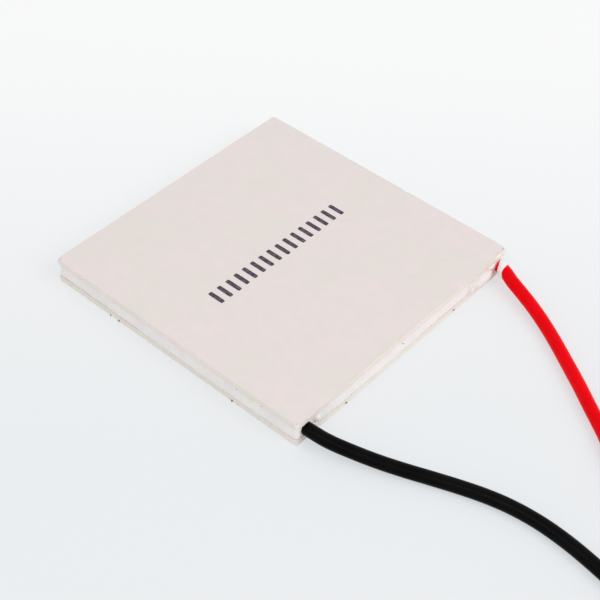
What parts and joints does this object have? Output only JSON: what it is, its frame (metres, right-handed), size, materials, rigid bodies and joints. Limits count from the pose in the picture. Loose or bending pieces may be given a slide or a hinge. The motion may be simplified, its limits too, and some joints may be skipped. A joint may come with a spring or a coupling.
{
  "type": "thermoelectric cooling module",
  "caption": "Flat square heat pump: two ceramic plates sandwiching soldered semiconductor legs, sealed at the edge, with a red and a black lead",
  "frame": {"origin": "middle of the hot side's outer face, which the module rests on", "axes": "+Z from the hot plate to the cold plate, +X towards the edge that the leads leave from, +Y towards the red lead"},
  "size_m": [0.1007, 0.065, 0.0035],
  "materials": {
    "alumina": "matt white ceramic with a warm tinge",
    "silicone": "white silicone sealant",
    "copper": "bare copper",
    "solder": "satin solder",
    "p_crystal": "grey semiconductor crystal",
    "n_crystal": "grey semiconductor crystal",
    "tinned_copper": "tinned strands",
    "black_insulation": "glossy black insulation",
    "red_insulation": "glossy red insulation"
  },
  "bodies": {
    "root": {"hot_plate": "alumina", "cold_plate": "alumina", "hot_tabs": "copper", "cold_tabs": "copper", "negative_end_tab": "copper", "positive_end_tab": "copper", "hot_solder": "solder", "cold_solder": "solder", "p_legs": "p_crystal", "n_legs": "n_crystal", "black_lead_solder": "solder", "red_lead_solder": "solder", "black_lead_core": "tinned_copper", "red_lead_core": "tinned_copper", "edge_seal": "silicone", "red_lead_smear": "silicone", "black_lead": "black_insulation", "red_lead": "red_insulation", "black_lead_coil": "black_insulation", "red_lead_coil": "red_insulation", "black_lead_end": "tinned_copper", "red_lead_end": "tinned_copper"}
  },
  "joints": []
}
